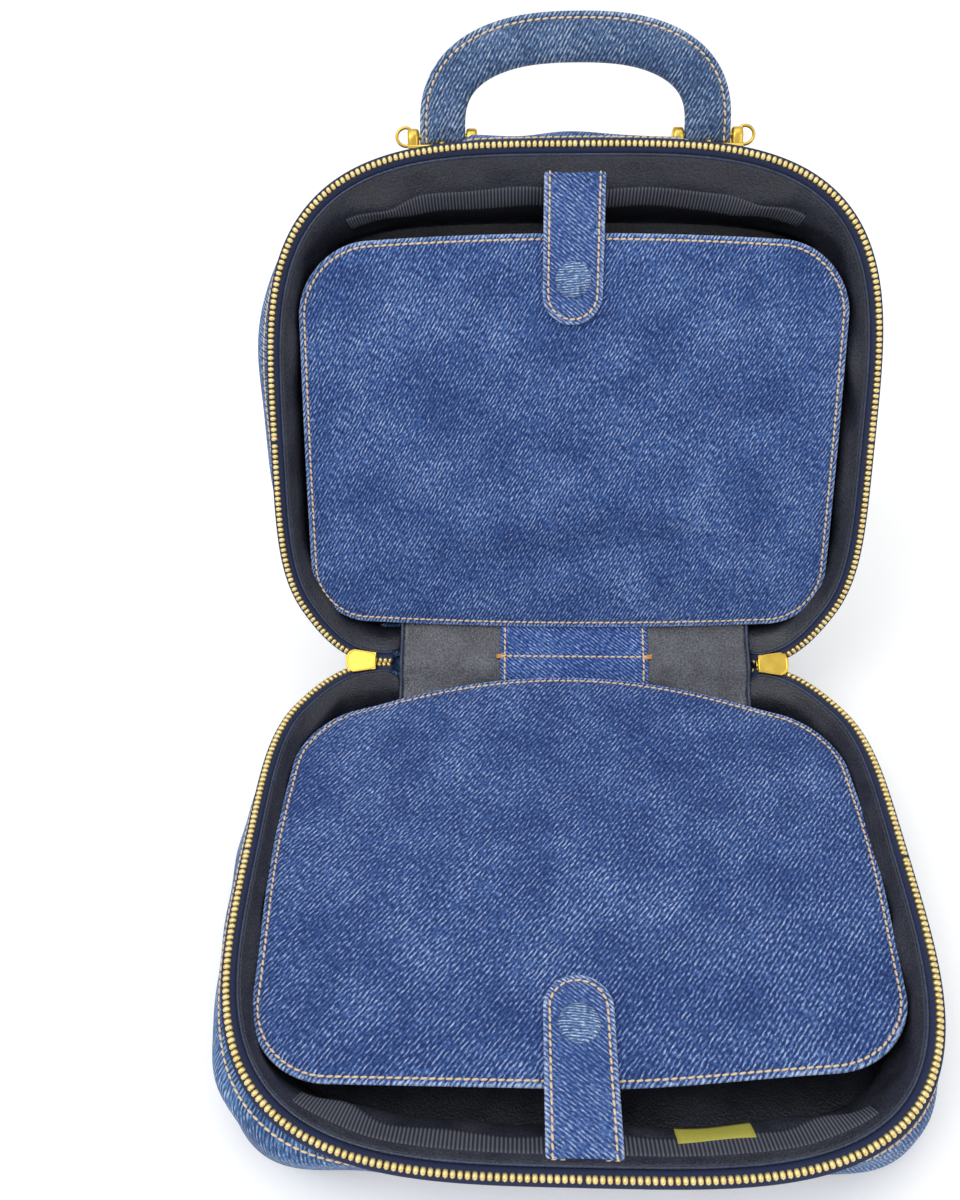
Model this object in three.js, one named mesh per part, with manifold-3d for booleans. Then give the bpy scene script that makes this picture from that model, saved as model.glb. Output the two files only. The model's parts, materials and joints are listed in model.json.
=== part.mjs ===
// A zip-round denim brush case, standing open on its cloth hinge.
//
// Two shallow padded halves meet at a hinge line along X. The lower half lies flat, the upper half
// leans back and carries the handle. Each half is modelled in its own frame: x across, y away from the
// hinge line, z up out of the half, with z = 0 at the plane where the two halves meet when shut.
// Millimetres, +Z up, origin at the middle of the underside.

import * as THREE from 'three';
import { mergeVertices } from 'three/addons/utils/BufferGeometryUtils.js';
import Module from 'manifold-3d';

const wasm = await Module();
wasm.setup();

// ---- driving dimensions ----
const HALF_WIDTH = 142.5; // of the zip line, seen from above
const LENGTH = 245; // of the zip line, from the hinge line to the handle side
const DEPTH = 45; // of one half
const OPEN_ANGLE = 116; // between the two halves, degrees
const HINGE_Y = 117; // hinge line, from the middle of the underside
const GAP = 0.3; // between touching pieces
const STEPS = 48; // points round an outline

const BELLY = 113; // distance from the hinge line to the widest place
const NEAR_POWER = 4.4; // squareness of the corners at the hinge
const FAR_POWER = 3.5; // squareness of the corners at the handle

const SLIDER_X = 104; // parked slider, from the middle
const SLIDER_LENGTH = 15;
const ZIP_END_X = 114; // the open zip starts here, outside the slider
const PANEL_END_X = 87; // the leather hinge panel ends here

const FLAP = { halfWidth: 128, near: 13.5, far: 208, droop: 15, top: 9, thick: 3.3, corner: 40 };
const TAB = { halfWidth: 14, tip: 166.5, root: 228, top: 5.2, thick: 2.25, snap: 187 };
const HANDLE = { footX: 60.5, pin: 250, depth: 21, rise: 37, width: 20, thick: 9 };

// ---- finishes ----
const finish = (color, roughness, metalness = 0) =>
  new THREE.MeshStandardMaterial({ color, roughness, metalness });
const denim = finish('#34508a', 0.9);
const washedDenim = finish('#5878a6', 0.9);
const leather = finish('#1d202c', 0.55);
const ribbon = finish('#24293a', 0.75);
const piping = finish('#5f7390', 0.5);
const tape = finish('#38467a', 0.85);
const gold = finish('#d8b84a', 0.25, 1);
const board = finish('#8a7a62', 0.9);
const foam = finish('#c9c6bd', 0.95);
const paper = finish('#a5a23c', 0.7);

// ---- surfaces ----

// A closed surface through rows of points. Each row is a loop; the rows join in a ring, or the first and
// last are closed with a fan. Faces are turned outwards.
function skin(rows, ring = false) {
  const columns = rows[0].length;
  const points = rows.flat();
  const faces = [];
  const last = ring ? rows.length : rows.length - 1;
  for (let i = 0; i < last; i += 1) {
    const next = (i + 1) % rows.length;
    for (let j = 0; j < columns; j += 1) {
      const k = (j + 1) % columns;
      const [a, b] = [i * columns + j, i * columns + k];
      const [c, d] = [next * columns + k, next * columns + j];
      faces.push([a, b, c], [a, c, d]);
    }
  }
  if (!ring) {
    const middle = (row) => row.reduce((sum, p) => sum.add(p), new THREE.Vector3()).divideScalar(columns);
    const [first, final] = [points.length, points.length + 1];
    points.push(middle(rows[0]), middle(rows[rows.length - 1]));
    const base = (rows.length - 1) * columns;
    for (let j = 0; j < columns; j += 1) {
      const k = (j + 1) % columns;
      faces.push([first, k, j], [final, base + j, base + k]);
    }
  }
  const volume = faces.reduce((sum, [a, b, c]) =>
    sum + points[a].dot(new THREE.Vector3().crossVectors(points[b], points[c])), 0);
  const index = faces.flatMap(([a, b, c]) => (volume > 0 ? [a, b, c] : [a, c, b]));
  const geometry = new THREE.BufferGeometry();
  geometry.setAttribute('position', new THREE.Float32BufferAttribute(points.flatMap((p) => p.toArray()), 3));
  geometry.setIndex(index);
  geometry.computeVertexNormals();
  return geometry;
}

// The zip line of a half at an angle from +X, seen from above: two half superellipses, one each side of
// the widest place.
function zipLine(angle) {
  const [c, s] = [Math.cos(angle), Math.sin(angle)];
  const power = 2 / (s > 0 ? FAR_POWER : NEAR_POWER);
  const reach = s > 0 ? LENGTH - BELLY : BELLY;
  const bend = (v) => Math.sign(v) * Math.abs(v) ** power;
  return new THREE.Vector2(HALF_WIDTH * bend(c), BELLY + reach * bend(s));
}

// A point set in from the zip line and down from the meeting plane. The handle side can stand further in
// by `far` and the hinge side by `near`.
function rimPoint(angle, { inset, near = 0, far = 0, down }) {
  const at = zipLine(angle);
  const along = zipLine(angle + 0.01).sub(zipLine(angle - 0.01)).normalize();
  at.x -= inset * along.y;
  at.y += inset * along.x;
  const toFar = THREE.MathUtils.smoothstep(at.y, LENGTH - 50, LENGTH);
  const toNear = THREE.MathUtils.smoothstep(-at.y, -BELLY, 0);
  return new THREE.Vector3(at.x, at.y - far * toFar + near * toNear, -down);
}

// The whole outline as a loop.
const loop = (place) =>
  Array.from({ length: STEPS }, (_, i) => rimPoint(((i + 0.5) / STEPS) * Math.PI * 2, place));

// A strip that follows the open zip from one slider round to the other. Its section is a list of
// [inset, down] corners.
function zipStrip(section) {
  const start = -Math.acos((ZIP_END_X / HALF_WIDTH) ** (NEAR_POWER / 2));
  const sweep = Math.PI - 2 * start;
  return skin(Array.from({ length: STEPS + 1 }, (_, i) =>
    section.map(([inset, down]) => rimPoint(start + (sweep * i) / STEPS, { inset, down }))));
}

// A flat plate with the given shape, its upper face at z = top.
function plate(shape, top, thick, curveSegments = 8) {
  return new THREE.ExtrudeGeometry(shape, { depth: thick, bevelEnabled: false, curveSegments })
    .translate(0, 0, top - thick);
}

// The same plate stood across the half: the shape's x runs along the depth, its y away from the hinge
// line, and its thickness along x from the given place.
function cheek(shape, x, thick) {
  return new THREE.ExtrudeGeometry(shape, { depth: thick, bevelEnabled: false, curveSegments: 8 })
    .rotateY(Math.PI / 2).translate(x, 0, 0);
}

function disc(radius, x, y, top, thick, sides = 20) {
  return new THREE.CylinderGeometry(radius, radius, thick, sides)
    .rotateX(Math.PI / 2).translate(x, y, top - thick / 2);
}

function block(x0, x1, y0, y1, z0, z1) {
  return new THREE.BoxGeometry(x1 - x0, y1 - y0, z1 - z0)
    .translate((x0 + x1) / 2, (y0 + y1) / 2, (z0 + z1) / 2);
}

// ---- joining and cutting ----
function solid(geometry) {
  const bare = geometry.clone();
  bare.deleteAttribute('normal');
  bare.deleteAttribute('uv');
  const merged = mergeVertices(bare, 1e-4);
  return new wasm.Manifold(new wasm.Mesh({
    numProp: 3,
    vertProperties: new Float32Array(merged.attributes.position.array),
    triVerts: new Uint32Array(merged.index.array),
  }));
}

function geometryOf(body) {
  const { vertProperties, triVerts } = body.getMesh();
  const geometry = new THREE.BufferGeometry();
  geometry.setAttribute('position', new THREE.BufferAttribute(vertProperties, 3));
  geometry.setIndex(new THREE.BufferAttribute(triVerts, 1));
  geometry.computeVertexNormals();
  return geometry;
}

const joined = (...parts) => geometryOf(parts.map(solid).reduce((all, part) => all.add(part)));

function piece(name, geometry, material) {
  const mesh = new THREE.Mesh(geometry, material);
  mesh.name = name;
  return mesh;
}

// ---- one half: shell, padding, lining and zip ----

// The denim shell is a tray. Its wall curls in under the zip, bulges at mid height and rounds into the
// flat underside, which stops well short of the handle side.
const SHELL_WALL = 1.6;
function shell() {
  const outside = [
    { inset: 13, far: 12, down: DEPTH },
    { inset: 6, far: 10, down: DEPTH - 2.5 },
    { inset: 0.5, near: 2, far: 7, down: DEPTH - 8 },
    { inset: -3, near: 4, far: 4, down: DEPTH - 18 },
    { inset: -3, near: 4, far: 3, down: 16 },
    { inset: 0, near: 2.2, far: 1.6, down: 8.5 },
    { inset: 5.4, near: 1, down: 4.8 },
  ];
  const inside = outside.toReversed().map((row) => ({
    ...row,
    inset: row.inset + SHELL_WALL,
    down: Math.min(row.down === 4.8 ? 5.6 : row.down, DEPTH - SHELL_WALL),
  }));
  return skin([...outside, ...inside].map(loop));
}

// A stiffener board laid in the bottom of the shell.
function stiffener() {
  const floor = DEPTH - SHELL_WALL - GAP;
  const edge = { inset: 17, far: 12 };
  return skin([{ ...edge, down: floor }, { ...edge, down: floor - 1.5 }].map(loop));
}

// Foam fills the wall between the shell and the lining.
function wallFoam() {
  return skin([
    { inset: 9, far: 10, down: DEPTH - 4.4 },
    { inset: 3.4, near: 2, far: 7, down: DEPTH - 8.8 },
    { inset: -0.6, near: 4, far: 4, down: DEPTH - 18 },
    { inset: -0.6, near: 4, far: 3, down: 16 },
    { inset: 3, near: 2.2, far: 2, down: 10 },
    { inset: 9.6, far: 6, down: 12.6 },
    { inset: 9.8, far: 13.6, down: 18 },
    { inset: 12, far: 13.6, down: DEPTH - 7 },
  ].map(loop), true);
}

// The lining is a thin tray inside the foam.
function lining() {
  const thin = 1;
  const outside = [
    { inset: 16, far: 13.6, down: DEPTH - 3.8 },
    { inset: 12.5, far: 13.9, down: DEPTH - 7 },
    { inset: 10.3, far: 13.9, down: 18 },
    { inset: 10.2, far: 13.9, down: 14.6 },
  ];
  const inside = outside.toReversed().map((row) => ({
    ...row,
    inset: row.inset + thin,
    down: Math.min(row.down, DEPTH - 3.8 - thin),
  }));
  return skin([...outside, ...inside].map(loop));
}

// A ribbed ribbon covers the seam between the lining and the zip, all the way round.
function seamRibbon() {
  return skin([
    { inset: 10.5, down: 3.6 },
    { inset: 10.3, far: 13.9, down: 14.2 },
    { inset: 11.1, far: 13.9, down: 14.2 },
    { inset: 11.3, down: 3.6 },
  ].map(loop), true);
}

const bead = (inset, down, radius, sides) => Array.from({ length: sides }, (_, i) => {
  const angle = ((i + 0.5) / sides) * Math.PI * 2;
  return [inset + radius * Math.cos(angle), down + radius * Math.sin(angle)];
});

// A flap over the compartment: square corners rounded, its hinge side bowed so that the corners stand off.
function flapShape(inset) {
  const { halfWidth, near, far, droop, corner } = FLAP;
  const [w, n, f] = [halfWidth - inset, near + inset, far - inset];
  const shape = new THREE.Shape();
  shape.moveTo(-35, n);
  shape.bezierCurveTo(-70, n, -95, n + droop * 0.45, -108, n + droop * 0.8);
  shape.quadraticCurveTo(-w, n + droop + 6, -w, n + droop + 34);
  shape.lineTo(-w, f - corner);
  shape.absarc(-w + corner, f - corner, corner, Math.PI, Math.PI / 2, true);
  shape.lineTo(w - corner, f);
  shape.absarc(w - corner, f - corner, corner, Math.PI / 2, 0, true);
  shape.lineTo(w, n + droop + 34);
  shape.quadraticCurveTo(w, n + droop + 6, 108, n + droop * 0.8);
  shape.bezierCurveTo(95, n + droop * 0.45, 70, n, 35, n);
  return shape;
}

function tabShape() {
  const { halfWidth: r, tip, root } = TAB;
  const shape = new THREE.Shape();
  shape.moveTo(r, root);
  shape.lineTo(-r, root);
  shape.lineTo(-r, tip + r);
  shape.absarc(0, tip + r, r, Math.PI, 2 * Math.PI, false);
  return shape;
}

function half(side) {
  const group = new THREE.Group();
  const coverThick = FLAP.thick / 2;
  const studTop = -(TAB.top + TAB.thick + GAP);
  const flapTop = -FLAP.top;
  group.add(
    piece(`${side}_shell`, shell(), washedDenim),
    piece(`${side}_stiffener_board`, stiffener(), board),
    piece(`${side}_wall_foam`, wallFoam(), foam),
    piece(`${side}_lining`, lining(), leather),
    piece(`${side}_seam_ribbon`, seamRibbon(), ribbon),
    piece(`${side}_zip_tape`, zipStrip([[1.8, 1.2], [1.8, 2.1], [8, 4.2], [8, 3.3]]), tape),
    piece(`${side}_zip_teeth`, zipStrip(bead(0, 1.7, 1.35, 6)), gold),
    piece(`${side}_piping`, zipStrip(bead(9.25, 2.6, 0.9, 5)), piping),
    piece(`${side}_flap_cover`, plate(flapShape(0), flapTop, coverThick), denim),
    piece(`${side}_flap_backing`, plate(flapShape(1.5), flapTop - coverThick - GAP, 1.4), leather),
    piece(`${side}_snap_stud`, disc(4.6, 0, TAB.snap, studTop, studTop - flapTop - GAP), gold),
    piece(`${side}_tab_strap`, plate(tabShape(), -TAB.top, TAB.thick), washedDenim),
    piece(`${side}_snap_cap`, disc(8, 0, TAB.snap, -TAB.top + GAP + 2.2, 2.2, 24), washedDenim),
    piece(`${side}_hinge_panel`, block(-PANEL_END_X, PANEL_END_X, 0.2, 9.6, -2.8, -1.7), leather),
    piece(`${side}_hinge_strap`, block(-31, 31, 0.2, 11, -1.4, -0.2), denim),
  );
  return group;
}

// ---- zip sliders, parked at the hinge ----

// Built round the hinge line with x along the zip, y across the slider and z out of the case's inside.
// Two shield-shaped plates hold the two rows of teeth apart with a post at the wide end; the outer plate
// carries the bail that the pull hangs from.
function sliderBody() {
  const [wide, narrow, long] = [5.6, 4.2, SLIDER_LENGTH / 2];
  const shield = new THREE.Shape();
  shield.moveTo(-long, -narrow);
  shield.lineTo(long - 4, -wide);
  shield.quadraticCurveTo(long, -wide, long, 0);
  shield.quadraticCurveTo(long, wide, long - 4, wide);
  shield.lineTo(-long, narrow);
  const leg = (x) => block(x - 0.8, x + 0.8, -1.2, 1.2, -6, -2.6);
  return joined(
    plate(shield, 3, 1.3, 6),
    plate(shield, -1.7, 1.3, 6),
    block(1.5, 5.5, -0.9, 0.9, -2, 2),
    leg(-3.2), leg(3.2), block(-4, 4, -1.2, 1.2, -6.8, -5.4),
  );
}

// The pull is a flat tongue whose top bar passes under the bail. The middle of that bar is the origin and
// the tongue hangs along -z.
const PULL_BAR = -4.2;
function pullTongue() {
  const shape = new THREE.Shape();
  shape.moveTo(-3.4, 0.7);
  shape.lineTo(-4, -19);
  shape.quadraticCurveTo(-3.8, -24, 0, -24);
  shape.quadraticCurveTo(3.8, -24, 4, -19);
  shape.lineTo(3.4, 0.7);
  const eye = new THREE.Path();
  eye.moveTo(-1.8, -0.7);
  eye.lineTo(1.8, -0.7);
  eye.lineTo(1.8, -5.6);
  eye.lineTo(-1.8, -5.6);
  shape.holes.push(eye);
  return new THREE.ExtrudeGeometry(shape, { depth: 1.4, bevelEnabled: false, curveSegments: 6 })
    .translate(0, 0, -0.7).rotateX(Math.PI / 2).rotateZ(Math.PI / 2);
}

// ---- handle, brackets and rings, in the upper half's frame ----

// A padded arch between the two brackets: a half superellipse, with a rounded oblong section that thins
// towards the feet.
function handlePad() {
  const { footX, pin, depth, rise, width, thick } = HANDLE;
  const [stations, sides, foot] = [24, 10, 4.2];
  const centre = (s) => {
    const angle = Math.PI * (1 - s);
    const bend = (v) => Math.sign(v) * Math.abs(v) ** (2 / 2.5);
    return new THREE.Vector3(footX * bend(Math.cos(angle)), pin + foot + rise * bend(Math.sin(angle)), -depth);
  };
  const rows = Array.from({ length: stations + 1 }, (_, i) => {
    const s = i / stations;
    const ahead = centre(Math.min(s + 0.01, 1)).sub(centre(Math.max(s - 0.01, 0))).normalize();
    const out = new THREE.Vector3(-ahead.y, ahead.x, 0);
    const fullness = Math.min(1, 0.72 + Math.sin(Math.PI * s));
    return Array.from({ length: sides }, (__, j) => {
      const angle = ((j + 0.5) / sides) * Math.PI * 2;
      const bend = (v) => Math.sign(v) * Math.abs(v) ** 0.6;
      return centre(s)
        .addScaledVector(out, (width / 2) * Math.min(1, fullness + 0.12) * bend(Math.cos(angle)))
        .add(new THREE.Vector3(0, 0, (thick / 2) * fullness * bend(Math.sin(angle))));
    });
  });
  return skin(rows);
}

// A short sewn tube at each foot of the handle, round its pin.
function footTube() {
  const wall = [[1.9, -8.6], [3.2, -8.6], [3.2, 8.6], [1.9, 8.6], [1.9, -8.6]];
  return new THREE.LatheGeometry(wall.map(([r, y]) => new THREE.Vector2(r, y)), 16).rotateZ(Math.PI / 2);
}

// A bracket: a base plate on the denim and two round-topped cheeks with a hole for the pin.
const CHEEK_INNER = 9.6;
const CHEEK_THICK = 2.6;
const BASE_TOP = 246.2;
function bracket() {
  const { pin } = HANDLE;
  const [radius, hole] = [4.4, 1.7];
  const shape = new THREE.Shape();
  shape.moveTo(-radius, BASE_TOP - 1);
  shape.lineTo(radius, BASE_TOP - 1);
  shape.lineTo(radius, pin);
  shape.absarc(0, pin, radius, 0, Math.PI, false);
  const bore = new THREE.Path();
  bore.absarc(0, pin, hole, 0, Math.PI * 2, true);
  shape.holes.push(bore);
  return joined(
    block(-CHEEK_INNER - CHEEK_THICK - 1, CHEEK_INNER + CHEEK_THICK + 1, BASE_TOP - 1.5, BASE_TOP, -6.5, 6.5),
    cheek(shape, CHEEK_INNER, CHEEK_THICK),
    cheek(shape, -CHEEK_INNER - CHEEK_THICK, CHEEK_THICK),
  );
}

// A wire D: a straight bar on y and a round bow out along +x, swept with a round wire.
const RING = { bar: 6.2, bow: 9.6, wire: 0.8 };
function dRing() {
  const { bar, bow, wire } = RING;
  const [corner, stations, sides] = [2.2, 28, 6];
  const path = new THREE.Path();
  path.moveTo(0, -bar + corner);
  path.lineTo(0, bar - corner);
  path.quadraticCurveTo(0, bar, corner, bar);
  path.absellipse(corner, 0, bow - corner, bar, Math.PI / 2, -Math.PI / 2, true);
  path.quadraticCurveTo(0, -bar, 0, -bar + corner);
  const rows = Array.from({ length: stations }, (_, i) => {
    const at = path.getPointAt(i / stations);
    const along = path.getTangentAt(i / stations);
    const out = new THREE.Vector3(along.y, -along.x, 0);
    return Array.from({ length: sides }, (__, j) => {
      const angle = (j / sides) * Math.PI * 2;
      return new THREE.Vector3(at.x, at.y, wire * Math.sin(angle)).addScaledVector(out, wire * Math.cos(angle));
    });
  });
  return skin(rows, true);
}

function ringBarrel() {
  const wall = [[1.1, -2.4], [1.9, -2.4], [1.9, 2.4], [1.1, 2.4], [1.1, -2.4]];
  return new THREE.LatheGeometry(wall.map(([r, y]) => new THREE.Vector2(r, y)), 12);
}

function carryParts() {
  const { footX, pin, depth } = HANDLE;
  const group = new THREE.Group();
  group.add(piece('handle_pad', handlePad(), washedDenim));
  const barrelX = CHEEK_INNER + CHEEK_THICK + GAP + 1.9;
  for (const [side, way] of [['left', -1], ['right', 1]]) {
    const foot = new THREE.Group();
    foot.position.set(way * footX, 0, -depth);
    const put = (name, geometry, material, x = 0, y = 0, z = 0) => {
      const mesh = piece(`${name}_${side}`, geometry, material);
      mesh.position.set(x, y, z);
      foot.add(mesh);
      return mesh;
    };
    put('handle_foot', footTube(), washedDenim, 0, pin);
    put('handle_pin', new THREE.CylinderGeometry(1.4, 1.4, 24, 12).rotateZ(Math.PI / 2), gold, 0, pin);
    put('bracket', bracket(), gold);
    put('ring_barrel', ringBarrel(), gold, way * barrelX, pin);
    put('ring', dRing(), gold, way * barrelX, pin).rotation.y = way > 0 ? 0 : Math.PI;
    for (const [place, z] of [['front', 5], ['back', -5]]) {
      const rivet = new THREE.CylinderGeometry(1.2, 1.2, 0.8, 12);
      put(`rivet_${place}`, rivet, gold, 0, BASE_TOP + GAP + 0.4, z);
    }
    group.add(foot);
  }
  return group;
}

// ---- assembly ----
const radians = THREE.MathUtils.degToRad;
const brushCase = new THREE.Group();

const hinge = new THREE.Group();
hinge.position.set(0, HINGE_Y, DEPTH);
brushCase.add(hinge);

const lower = half('lower');
lower.rotation.z = Math.PI;
lower.add(piece('price_sticker', block(-65, -44, 220.5, 229.5, -2.6, -2.3), paper));
hinge.add(lower);

const upper = half('upper');
upper.rotation.x = radians(180 - OPEN_ANGLE);
upper.add(carryParts());
hinge.add(upper);

// The slider plates face half way between the two halves.
for (const [side, way] of [['left', -1], ['right', 1]]) {
  const parked = new THREE.Group();
  parked.position.x = way * SLIDER_X;
  parked.rotation.x = radians(90 - OPEN_ANGLE / 2);
  const body = piece(`slider_${side}`, sliderBody(), gold);
  body.rotation.z = way > 0 ? 0 : Math.PI;
  const chain = piece(`zip_chain_${side}`, block(-4.2, 4.2, -2.4, 2.4, -1.2, 1.2), gold);
  chain.position.x = -way * (SLIDER_LENGTH / 2 + GAP + 4.2);
  const tongue = piece(`pull_${side}`, pullTongue(), gold);
  tongue.position.z = PULL_BAR;
  parked.add(body, chain, tongue);
  hinge.add(parked);
}

export default brushCase;
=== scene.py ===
"""Looks for a zip-round denim brush case that stands open on its cloth hinge.

Each half is drawn in its own millimetres, across the case, away from the hinge line and down from the plane
where the halves meet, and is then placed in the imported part's frame, in metres.
"""

import json
import math

import bmesh
import bpy
import numpy as np
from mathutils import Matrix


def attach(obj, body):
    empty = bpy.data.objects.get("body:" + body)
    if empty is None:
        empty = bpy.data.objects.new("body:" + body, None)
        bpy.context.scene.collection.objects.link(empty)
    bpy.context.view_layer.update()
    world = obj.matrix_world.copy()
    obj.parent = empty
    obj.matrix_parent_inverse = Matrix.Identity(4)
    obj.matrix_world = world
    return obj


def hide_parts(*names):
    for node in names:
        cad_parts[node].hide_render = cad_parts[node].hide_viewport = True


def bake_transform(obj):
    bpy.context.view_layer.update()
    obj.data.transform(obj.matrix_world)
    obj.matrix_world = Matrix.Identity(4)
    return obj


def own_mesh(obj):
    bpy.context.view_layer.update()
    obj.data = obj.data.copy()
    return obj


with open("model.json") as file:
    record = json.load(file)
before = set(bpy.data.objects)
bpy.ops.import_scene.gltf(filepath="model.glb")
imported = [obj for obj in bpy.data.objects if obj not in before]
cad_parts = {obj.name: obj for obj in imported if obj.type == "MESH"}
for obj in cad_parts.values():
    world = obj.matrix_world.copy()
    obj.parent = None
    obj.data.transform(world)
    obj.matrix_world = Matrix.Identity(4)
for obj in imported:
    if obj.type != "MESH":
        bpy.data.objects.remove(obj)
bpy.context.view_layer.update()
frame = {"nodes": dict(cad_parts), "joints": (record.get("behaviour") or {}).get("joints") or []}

# ---- outer shells ----
# Each half is a soft tray of stone-washed denim twill over foam: a boxing strip sewn to a flat outer panel
# and turned in under the zip tape. The wall bulges between its two seams.
MM = 0.001
HINGE = np.array(next(j["pos_m"] for j in frame["joints"] if j["name"] == "case_fold"))
OPEN_ANGLE = 116.0
LEAN = {"lower": (math.pi, -1), "upper": (math.radians(180 - OPEN_ANGLE), 1)}
SIDES = ("lower", "upper")
HALF_WIDTH, LENGTH, DEPTH = 142.5, 245.0, 45.0
BELLY = 113.0  # the widest place, from the hinge line
NEAR_POWER, FAR_POWER = 4.4, 3.5  # squareness of the corners at the hinge and at the handle
SLIDER_X = 104.0


def smoothstep(value, start, end):
    """0 before start and 1 after end; between them 3s² - 2s³, where s is the share of the way."""
    s = np.clip((value - start) / (end - start), 0, 1)
    return s * s * (3 - 2 * s)


def place(side, across, away, down):
    """A half's millimetres as points in metres: (away, down) turned by the half's lean about the hinge line."""
    lean, sense = LEAN[side]
    y = away * math.cos(lean) + sense * down * math.sin(lean)
    z = away * math.sin(lean) - sense * down * math.cos(lean)
    return HINGE + MM * np.stack(np.broadcast_arrays(across, y, z), -1)


def facing(side):
    """The direction out of a half's inside."""
    return place(side, 0, 0, -1000) - HINGE


def zip_line(angle):
    """Two half superellipses |x/w|^p + |y/r|^p = 1, one each side of the widest place, whose hinge side is
    drawn in to the hinge line where the sliders close it."""
    c, s = np.cos(angle), np.sin(angle)
    power = 2 / np.where(s > 0, FAR_POWER, NEAR_POWER)
    reach = np.where(s > 0, LENGTH - BELLY, BELLY)
    x = HALF_WIDTH * np.sign(c) * np.abs(c) ** power
    y = BELLY + reach * np.sign(s) * np.abs(s) ** power
    return x, np.where(s > 0, y, y * smoothstep(np.abs(x), 90, 132))


def rim(angle, inset, down, near=0.0, far=0.0):
    """The zip line moved inwards along its normal by inset and down by down. The handle side stands further
    in by far and the hinge side by near, each by a smooth step. Between the zip's two ends the edge drops
    6 mm, behind the hinge panel."""
    x, y = zip_line(angle)
    ahead, behind = zip_line(angle + 0.01), zip_line(angle - 0.01)
    tx, ty = ahead[0] - behind[0], ahead[1] - behind[1]
    size = np.hypot(tx, ty)
    x, y = x - inset * ty / size, y + inset * tx / size
    drop = 6 * smoothstep(-np.abs(x - 4), -95, -86) * smoothstep(-y, -40, -12) * np.clip(1 - down / 18, 0, 1)
    return x, y - far * smoothstep(y, LENGTH - 50, LENGTH) + near * smoothstep(-y, -BELLY, 0), down + drop


def even_angles(count, start=-math.pi / 2, sweep=2 * math.pi):
    """Angles that divide the zip line into equal lengths, and the length up to each."""
    dense = start + sweep * np.linspace(0, 1, 12001)
    x, y = zip_line(dense)
    run = np.concatenate([[0], np.cumsum(np.hypot(np.diff(x), np.diff(y)))])
    length = np.linspace(0, run[-1], count)
    return np.interp(length, run, dense), length


def through(rows, count):
    """A Catmull-Rom curve through rows of values: each span is the cubic whose end slopes are half the
    difference of the rows either side."""
    rows = np.asarray(rows, float)
    more = np.vstack([2 * rows[0] - rows[1], rows, 2 * rows[-1] - rows[-2]])
    at = np.linspace(0, len(rows) - 1, count)
    i = np.minimum(at.astype(int), len(rows) - 2)
    s = (at - i)[:, None]
    a, b, c, d = (more[i + k] for k in range(4))
    return 0.5 * (2 * b + (c - a) * s + (2 * a - 5 * b + 4 * c - d) * s**2 + (3 * b - a - 3 * c + d) * s**3)


def ripple(u, v, size, seed):
    """A soft unevenness between about -1 and 1: nine sine waves of about that length in mm, in seeded
    directions, added and divided by their spread."""
    draw = np.random.default_rng(seed)
    total = 0.0
    for _ in range(9):
        turn, phase, length = draw.uniform(0, 2 * np.pi), draw.uniform(0, 2 * np.pi), size * draw.uniform(0.7, 1.6)
        total = total + np.sin((u * np.cos(turn) + v * np.sin(turn)) * 2 * np.pi / length + phase)
    return total / 3.2


def surface(name, *sheets, material, wear=None):
    """A closed mesh through grids of points in metres, each with cloth coordinates in metres. Points that
    coincide are merged, and faces point outwards by the sign of the enclosed volume."""
    flat, faces, cloth, worn, base, volume = [], [], [], [], 0, 0.0
    for sheet in sheets:
        points, uv = sheet[0], sheet[1]
        if points.ndim == 3:
            points, uv = points[None], uv[None]
        n, rows, cols = points.shape[:3]
        index = base + np.arange(n * rows * cols).reshape(n, rows, cols)
        quads = np.stack([index[:, :-1, :-1], index[:, 1:, :-1], index[:, 1:, 1:], index[:, :-1, 1:]], -1)
        flat.append(points.reshape(-1, 3))
        cloth.append(np.broadcast_to(uv, points.shape[:3] + (2,)).reshape(-1, 2))
        worn.append(np.broadcast_to(sheet[2] if len(sheet) > 2 else 0.0, points.shape[:3]).ravel())
        faces.append(quads.reshape(-1, 4))
        base += n * rows * cols
    flat, faces, cloth, worn = (np.concatenate(part) for part in (flat, faces, cloth, worn))
    a, b, c, d = (flat[faces[:, k]] for k in range(4))
    volume = np.sum(a * np.cross(b, c)) + np.sum(a * np.cross(c, d))
    if volume < 0:
        faces = faces[:, ::-1]
    mesh = bpy.data.meshes.new(name)
    mesh.from_pydata(flat.tolist(), [], faces.tolist())
    mesh.uv_layers.new(name="cloth").data.foreach_set("uv", cloth[faces.ravel()].ravel())
    mesh.attributes.new("wear", "FLOAT", "POINT").data.foreach_set("value", worn.astype(np.float32))
    work = bmesh.new()
    work.from_mesh(mesh)
    bmesh.ops.remove_doubles(work, verts=work.verts, dist=2e-6)
    work.to_mesh(mesh)
    work.free()
    mesh.shade_smooth()
    mesh.materials.append(material)
    piece = bpy.data.objects.new(name, mesh)
    bpy.context.scene.collection.objects.link(piece)
    return piece


def linear(hexa):
    """An sRGB hex colour as linear RGBA."""
    value = np.array([int(hexa[i:i + 2], 16) for i in (1, 3, 5)]) / 255
    value = np.where(value <= 0.04045, value / 12.92, ((value + 0.055) / 1.055) ** 2.4)
    return (*value.tolist(), 1.0)


def add(tree, kind, into, **settings):
    """Adds one node of a kind, sets its properties, and fills its inputs with values or other nodes' outputs."""
    node = tree.nodes.new("ShaderNode" + kind)
    for name, value in settings.items():
        setattr(node, name, value)
    for socket, value in into.items():
        if isinstance(value, bpy.types.NodeSocket):
            tree.links.new(value, node.inputs[socket])
        else:
            node.inputs[socket].default_value = value
    return node


def material_named(name):
    """An empty node material and its tree."""
    made = bpy.data.materials.new(name)
    made.use_nodes = True
    made.node_tree.nodes.clear()
    return made, made.node_tree


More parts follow.
